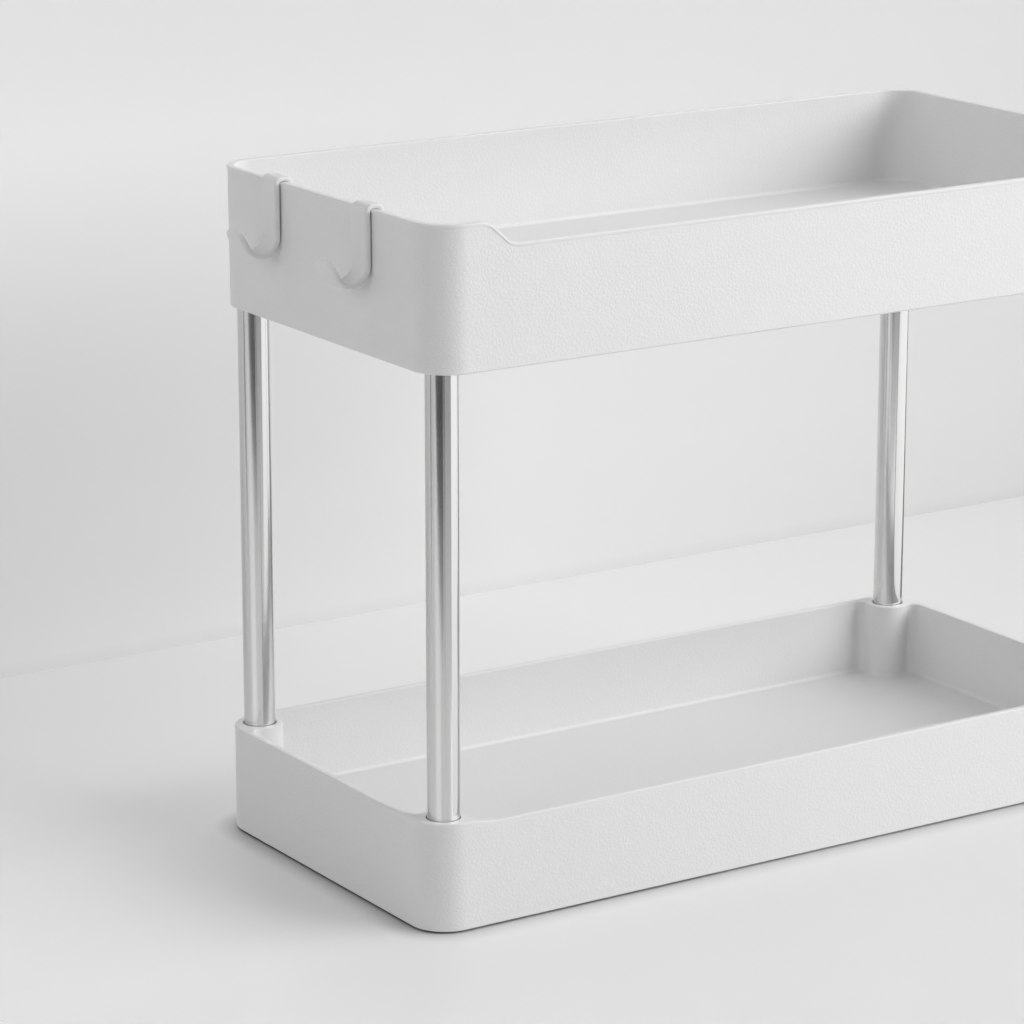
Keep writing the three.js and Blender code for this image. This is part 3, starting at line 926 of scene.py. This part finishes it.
def skin_mesh(name, rows):
    """Closed mesh over a stack of rings, moved to the trays' middle, with the grain kept on its points"""
    work = bmesh.new()
    grain = work.verts.layers.float.new("grain")
    rings = []
    for points, value in rows:
        ring = [work.verts.new((p.x + tray_middle.x, p.y + tray_middle.y, p.z)) for p in points]
        for vert in ring:
            vert[grain] = value
        rings.append(ring)
    count = len(rings[0])
    for low, high in zip(rings, rings[1:]):
        for i in range(count):
            j = (i + 1) % count
            work.faces.new((low[i], low[j], high[j], high[i]))
    work.faces.new(rings[0][::-1])
    work.faces.new(rings[-1])
    mesh = bpy.data.meshes.new(name)
    work.to_mesh(mesh)
    work.free()
    return mesh


def boss_mesh(name, outer, draft, low, high):
    """Round bosses under a floor, kept inside the skirt's outer face"""
    radius = boss_radius()
    inside = outer(draft + settings("trays").skirt_round)
    levels = (low - CUT, high + CUT)
    core = skin_mesh(name + "_core", [([Vector((p.x, p.y, z)) for p in inside], 0.0) for z in levels])
    bosses = turned_mesh(name, [[(0, low), (radius, low), (radius, high), (0, high)]], post_places())
    return combined(name, bosses, core, "INTERSECT")


def rounded_mouth(radius, edge, level, up):
    """Profile points where a round hole opens into a flat face with a rounded edge, upwards or downwards"""
    points = []
    for i in range(MOUTH_STEPS + 1):
        a = quarter(i, MOUTH_STEPS)
        points.append((radius + edge * (1 - math.cos(a)), level - up * edge * (1 - math.sin(a))))
    points.append((radius + edge, level + up * CUT))
    return points if up > 0 else points[::-1]


def lower_tray_piece():
    """The lower tray: shell and bosses, with sockets for the posts and recesses for the feet cut out"""
    trays, posts = settings("trays"), settings("posts")
    low, high = lower_low, lower_high
    half = (high - low) / 2
    floor_top = low.z + trays.lower_floor_rise
    pad = corner_pad()
    pad_end = pad["centre"] + pad["end"]
    pad_front = pad["centre"] + pad["front"]
    fall_at, lip_end = lip_fall(half.x - trays.corner_radius, trays.lower_lip_drop, trays.lower_lip_bend)
    stations = lip_stations(-pad_front.x, lip_end)
    corner = rounded_corner(half.x, half.y, trays.corner_radius, pad_end.y, pad_front.x)
    outer = plan(corner, lambda inset: inset - half.y, stations, fall_at)
    inner = plan(pad_corner(), lambda inset: inset + trays.wall - half.y, stations, fall_at)
    skirt = low.z - trays.skirt_drop
    shell = skin_mesh("lower_shell", tray_rows(outer, inner, 0.0, skirt, high.z, floor_top))
    boss_high = floor_top - trays.floor_thickness / 2
    bosses = boss_mesh("lower_bosses", outer, 0.0, skirt, boss_high)
    shell = combined("lower_shell", shell, bosses, "UNION")

    socket = socket_radius()
    socket_floor = low.z + posts.socket_sole
    mouth = rounded_mouth(socket, posts.socket_mouth, high.z, 1)
    foot_low, foot_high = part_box("foot_front_left")
    recess = (foot_high.x - foot_low.x) / 2 + posts.foot_clearance
    recess_top = low.z + posts.foot_recess
    recess_edge = rounded_mouth(recess, posts.foot_edge, skirt, -1)
    cutters = turned_mesh("lower_cutters", [
        [(0, socket_floor), (socket, socket_floor), *mouth, (0, high.z + CUT)],
        [(0, low.z - CUT), *recess_edge, (recess, recess_top), (0, recess_top)],
    ], post_places())
    return smoothed("lower_tray_shell", combined("lower_shell", shell, cutters, "DIFFERENCE"))


def upper_tray_piece():
    """The upper tray: shell and bosses, with sockets for the posts cut out from below"""
    trays, posts = settings("trays"), settings("posts")
    low, high = upper_low, upper_high
    half = (high - low) / 2
    floor_top = low.z + trays.upper_floor_rise
    lip_start = half.x - trays.corner_radius - trays.upper_lip_margin
    fall_at, lip_end = lip_fall(lip_start, trays.upper_lip_drop, trays.upper_lip_bend)
    stations = lip_stations(lip_start, lip_end)
    inner_x, inner_y = half.x - trays.wall, half.y - trays.wall
    corner = rounded_corner(half.x, half.y, trays.corner_radius)
    inner_corner = rounded_corner(inner_x, inner_y, trays.corner_radius - trays.wall)
    outer = plan(corner, lambda inset: inset - half.y, stations, fall_at)
    inner = plan(inner_corner, lambda inset: inset - inner_y, stations, fall_at)
    skirt = low.z - trays.skirt_drop
    rows = tray_rows(outer, inner, trays.upper_draft, skirt, high.z, floor_top, trays.upper_bead)
    shell = skin_mesh("upper_shell", rows)
    boss_low = low.z + posts.upper_setback
    boss_high = floor_top - trays.floor_thickness / 2
    bosses = boss_mesh("upper_bosses", outer, trays.upper_draft, boss_low, boss_high)
    shell = combined("upper_shell", shell, bosses, "UNION")

    socket = socket_radius()
    roof = floor_top - trays.floor_thickness
    mouth = rounded_mouth(socket, posts.socket_mouth, boss_low, -1)
    cutters = turned_mesh(
        "upper_cutters", [[(0, boss_low - CUT), *mouth, (socket, roof), (0, roof)]], post_places()
    )
    return smoothed("upper_tray_shell", combined("upper_shell", shell, cutters, "DIFFERENCE"))


# Posts, plugs and feet


def on_corners(name, profile, material):
    """One finished piece that repeats a turned shape at the four corners"""
    xs, ys = zip(*post_places())
    values = {
        "Spacing X": max(xs) - min(xs),
        "Spacing Y": max(ys) - min(ys),
        "Middle": (tray_middle.x, tray_middle.y, 0.0),
        "Material": material,
    }
    mesh = grown(name, turned_mesh(name + "_one", [profile]), corner_tree(), values)
    return smoothed(name, mesh)


def corner_nodes(prefix):
    """Names of the four nodes that start with a prefix"""
    return [prefix + corner for corner in CORNERS]


def tube_profile():
    """Closed section of a tube's wall with its cut edges eased"""
    posts = settings("posts")
    low, high = (corner.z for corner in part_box("post_front_left"))
    outside, edge = post_radius(), posts.tube_edge
    inside = outside - posts.tube_wall
    return [
        (inside, low),
        (outside - edge, low),
        (outside, low + edge),
        (outside, high - edge),
        (outside - edge, high),
        (inside, high),
    ]


def plug_profile(node, up):
    """Plug whose flange lies on a socket's floor, or hangs from its roof"""
    posts = settings("posts")
    low, high = (point.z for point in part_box(node))
    root, tip = (low, high) if up > 0 else (high, low)
    flange = post_radius()
    spigot = flange - posts.tube_wall - posts.plug_clearance
    profile = [
        (0, root),
        (flange, root),
        (flange, root + up * posts.plug_flange),
        (spigot, root + up * posts.plug_flange),
        (spigot, tip - up * posts.plug_lead),
        (spigot - posts.plug_lead, tip),
        (0, tip),
    ]
    return profile if up > 0 else profile[::-1]


def foot_profile():
    """Rubber disc with a round lower edge"""
    edge = settings("posts").foot_edge
    low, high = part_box("foot_front_left")
    radius = (high.x - low.x) / 2
    turn = arc((radius - edge, low.z + edge), edge, -math.pi / 2, 0.0, MOUTH_STEPS)
    return [(0, low.z), *[(p.x, p.y) for p in turn], (radius, high.z), (0, high.z)]


# Hooks


def hook_path(middle_y):
    """Middle line of a hook's strap, from the clip inside the tray to the tip of the tongue"""
    trays, hooks = settings("trays"), settings("hooks")
    half = hooks.thickness / 2
    rim = upper_high.z
    leg = -trays.wall - hooks.clip_clearance - half
    strap = hooks.gap + half
    bend_level = rim + hooks.seat - hooks.clip_bend
    inner_bend = Vector((hooks.clip_bend - trays.wall - hooks.clip_clearance, bend_level))
    outer_bend = Vector((hooks.gap - hooks.clip_bend, bend_level))
    throat = (strap + half + hooks.throat_radius, rim - hooks.drop + hooks.throat_radius)
    radius = hooks.throat_radius + half
    points = [Vector((leg, rim - hooks.clip_leg))]
    shares = [1.0]
    for i in range(2 * BEND_STEPS + 2):
        over = i > BEND_STEPS
        done = (i - BEND_STEPS - 1) / BEND_STEPS if over else i / BEND_STEPS
        a = math.pi / 2 * done
        share = 1 + (hooks.arch_share - 1) * (1 - done if over else done)
        out = Vector((math.sin(a), math.cos(a))) if over else Vector((-math.cos(a), math.sin(a)))
        points.append((outer_bend if over else inner_bend) + (hooks.clip_bend + half * share) * out)
        shares.append(share)
    points += arc(throat, radius, math.pi, 1.5 * math.pi + hooks.tongue_angle, 4 * BEND_STEPS)
    step = (hooks.tongue_length + half) / BEND_STEPS
    for i in range(BEND_STEPS):
        slope = hooks.tongue_angle + hooks.tongue_turn * (i + 0.5) / BEND_STEPS
        points.append(points[-1] + step * Vector((math.cos(slope), math.sin(slope))))
    mesh = bpy.data.meshes.new("hook_path")
    places = [(upper_low.x - p.x, middle_y, p.y) for p in points]
    mesh.from_pydata(places, [(i, i + 1) for i in range(len(places) - 1)], [])
    shares += [1.0] * (len(places) - len(shares))
    mesh.attributes.new("share", "FLOAT", "POINT").data.foreach_set("value", shares)
    return mesh


def hook_piece(name, node, material):
    """One hook: a strap swept along its path, as wide as its node"""
    hooks = settings("hooks")
    low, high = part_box(node)
    values = {
        "Width": high.y - low.y,
        "Thickness": hooks.thickness,
        "Edge": hooks.edge,
        "Tip radius": hooks.tip_radius,
        "Step": hooks.step,
        "Material": material,
    }
    mesh = grown(name, hook_path((low.y + high.y) / 2), strap_tree(), values)
    return smoothed(name, mesh, STRAP_SHARP_DEGREES)


# Stage


def flat_piece(name, points, material):
    """A flat polygon of the stage"""
    mesh = bpy.data.meshes.new(name)
    mesh.from_pydata(points, [], [range(len(points))])
    mesh.materials.append(material)
    piece = add_object(name, mesh)
    return piece


def mirror_card(name, outline, material):
    """A card just above the floor that shows in mirror surfaces alone"""
    card = flat_piece(name, [(p.x, p.y, MIRROR_LEVEL) for p in outline], material)
    card.visible_camera = False
    card.visible_diffuse = False
    card.visible_shadow = False
    card.visible_transmission = False


def make_mirror_cards():
    """Painted reflections for the steel: glowing cards, seen in mirrors alone, for a dark place in front, a
    bright window and dim edges
    """
    post = post_places()[0]
    for name, (turn, near, far) in MIRROR_CARDS.items():
        start, stop = (math.radians(degrees) for degrees in turn)
        outline = arc(post, MIRROR_REACH, start, stop, CARD_STEPS)
        outline += arc(post, near[0], stop, start, CARD_STEPS)
        mirror_card(name, outline, glow_material(name, post, near, far))
    start, stop = (math.radians(degrees) for degrees in DARK_TURN)
    outline = [Vector(post) + Vector(p) for p in DARK_EDGE]
    outline += arc(post, DARK_REACH, start, stop, CARD_STEPS)
    mirror_card("dark_reflection_card", outline, glow_material("dark_reflection_card", post, *DARK_GLOW))


def make_world():
    """Even light, with a paler tone where the surroundings are seen directly or in a mirror"""
    stage = settings("stage")
    world = bpy.data.worlds.new("studio")
    bpy.context.scene.world = world
    tree = empty_tree(world)
    light = add_node(tree, "ShaderNodeBackground", {"Color": (1, 1, 1, 1), "Strength": stage.sky})
    view = add_node(tree, "ShaderNodeBackground", {"Color": (1, 1, 1, 1), "Strength": stage.backdrop})
    inputs = {0: seen_rays(tree), 1: light.outputs[0], 2: view.outputs[0]}
    mixed = add_node(tree, "ShaderNodeMixShader", inputs)
    add_node(tree, "ShaderNodeOutputWorld", {"Surface": mixed.outputs[0]})


def make_lamp(name, middle, power, width, height):
    """A soft rectangular light that looks at the organizer"""
    data = bpy.data.lights.new(name, "AREA")
    data.energy = power
    data.shape = "RECTANGLE"
    data.size = width
    data.size_y = height
    lamp = add_object(name, data)
    lamp.location = middle
    aim = Vector((tray_middle.x, tray_middle.y, (lower_low.z + upper_high.z) / 2))
    lamp.rotation_euler = (aim - Vector(middle)).to_track_quat("-Z", "Y").to_euler()


def make_camera():
    """Camera at the photograph's viewing angle"""
    stage = settings("stage")
    data = bpy.data.cameras.new("camera")
    data.lens = stage.lens
    data.sensor_width = SENSOR_WIDTH
    camera = add_object("camera", data)
    camera.location = stage.camera_place
    camera.rotation_euler = (math.pi / 2 - stage.camera_dip, 0.0, -stage.camera_turn)
    bpy.context.scene.camera = camera


# Operators


class ORGANIZER_OT_trays(bpy.types.Operator):
    """Make the lower tray with its corner pads and the upper tray with its lowered lip"""

    bl_idname = "organizer.trays"
    bl_label = "Trays"

    def execute(self, context):
        plastic = tray_material()
        dress(lower_tray_piece(), plastic, "rack", "tray_plastic", "lower_tray")
        dress(upper_tray_piece(), plastic, "rack", "tray_plastic", "upper_tray")
        return {"FINISHED"}


class ORGANIZER_OT_posts(bpy.types.Operator):
    """Make the four steel tubes and the plugs in their ends"""

    bl_idname = "organizer.posts"
    bl_label = "Posts"

    def execute(self, context):
        steel, plastic = steel_material(), plug_material()
        posts = on_corners("posts", tube_profile(), steel)
        dress(posts, steel, "rack", "post_steel", *corner_nodes("post_"))
        for level, up in (("lower", 1), ("upper", -1)):
            prefix = f"plug_{level}_"
            plugs = on_corners(f"{level}_plugs", plug_profile(prefix + CORNERS[0], up), plastic)
            dress(plugs, plastic, "rack", "plug_plastic", *corner_nodes(prefix))
        return {"FINISHED"}


class ORGANIZER_OT_feet(bpy.types.Operator):
    """Make the four rubber feet"""

    bl_idname = "organizer.feet"
    bl_label = "Feet"

    def execute(self, context):
        rubber = rubber_material()
        feet = on_corners("feet", foot_profile(), rubber)
        dress(feet, rubber, "rack", "foot_rubber", *corner_nodes("foot_"))
        return {"FINISHED"}


class ORGANIZER_OT_hooks(bpy.types.Operator):
    """Make the two hooks that clip over the upper rim"""

    bl_idname = "organizer.hooks"
    bl_label = "Hooks"

    def execute(self, context):
        plastic = hook_material()
        for side in ("rear", "front"):
            strap = hook_piece(f"{side}_hook_strap", f"hook_{side}", plastic)
            dress(strap, plastic, f"{side}_hook", "hook_plastic", f"hook_{side}")
        return {"FINISHED"}


class ORGANIZER_OT_stage(bpy.types.Operator):
    """Make the floor, the wall, the light and the camera"""

    bl_idname = "organizer.stage"
    bl_label = "Stage"

    def execute(self, context):
        stage = settings("stage")
        far, back = stage.reach, stage.wall_place
        table = [(-far, -far, 0), (far, -far, 0), (far, far, 0), (-far, far, 0)]
        flat_piece("floor", table, floor_material())
        wall = [(-far, back, 0), (far, back, 0), (far, back, far / 2), (-far, back, far / 2)]
        flat_piece("wall", wall, wall_material())
        make_mirror_cards()
        make_world()
        make_lamp("key_light", stage.key_place, stage.key_power, stage.key_width, stage.key_height)
        make_lamp("high_light", stage.high_place, stage.high_power, stage.high_size, stage.high_size)
        make_lamp("fill_light", stage.fill_place, stage.fill_power, stage.fill_size, stage.fill_size)
        make_lamp("top_light", stage.top_place, stage.top_power, stage.top_size, stage.top_size)
        make_camera()
        context.scene.view_settings.view_transform = "Standard"
        return {"FINISHED"}


class ORGANIZER_PT_panel(bpy.types.Panel):
    """Sizes, finishes and makers of the organizer"""

    bl_idname = "ORGANIZER_PT_panel"
    bl_label = "Countertop organizer"
    bl_space_type = "VIEW_3D"
    bl_region_type = "UI"
    bl_category = "Organizer"

    def draw(self, context):
        for operator in OPERATORS:
            self.layout.operator(operator.bl_idname)
        for name, group in GROUPS.items():
            box = self.layout.box()
            box.label(text=name.title())
            for key in group.__annotations__:
                box.prop(settings(name), key)


GROUPS = {
    "trays": OrganizerTrays,
    "posts": OrganizerPosts,
    "hooks": OrganizerHooks,
    "finishes": OrganizerFinishes,
    "stage": OrganizerStage,
}
OPERATORS = (
    ORGANIZER_OT_trays,
    ORGANIZER_OT_posts,
    ORGANIZER_OT_feet,
    ORGANIZER_OT_hooks,
    ORGANIZER_OT_stage,
)


def register():
    """Adds the property groups, operators and panel"""
    for item in (*GROUPS.values(), *OPERATORS, ORGANIZER_PT_panel):
        bpy.utils.register_class(item)
    for name, group in GROUPS.items():
        setattr(bpy.types.Scene, "organizer_" + name, bpy.props.PointerProperty(type=group))


def unregister():
    """Takes them away again"""
    for name in GROUPS:
        delattr(bpy.types.Scene, "organizer_" + name)
    for item in (ORGANIZER_PT_panel, *reversed(OPERATORS), *reversed(GROUPS.values())):
        bpy.utils.unregister_class(item)


def main():
    """Makes the pieces and the stage"""
    register()
    bpy.ops.organizer.trays()
    bpy.ops.organizer.posts()
    bpy.ops.organizer.feet()
    bpy.ops.organizer.hooks()
    bpy.ops.organizer.stage()


if __name__ == "__main__":
    main()
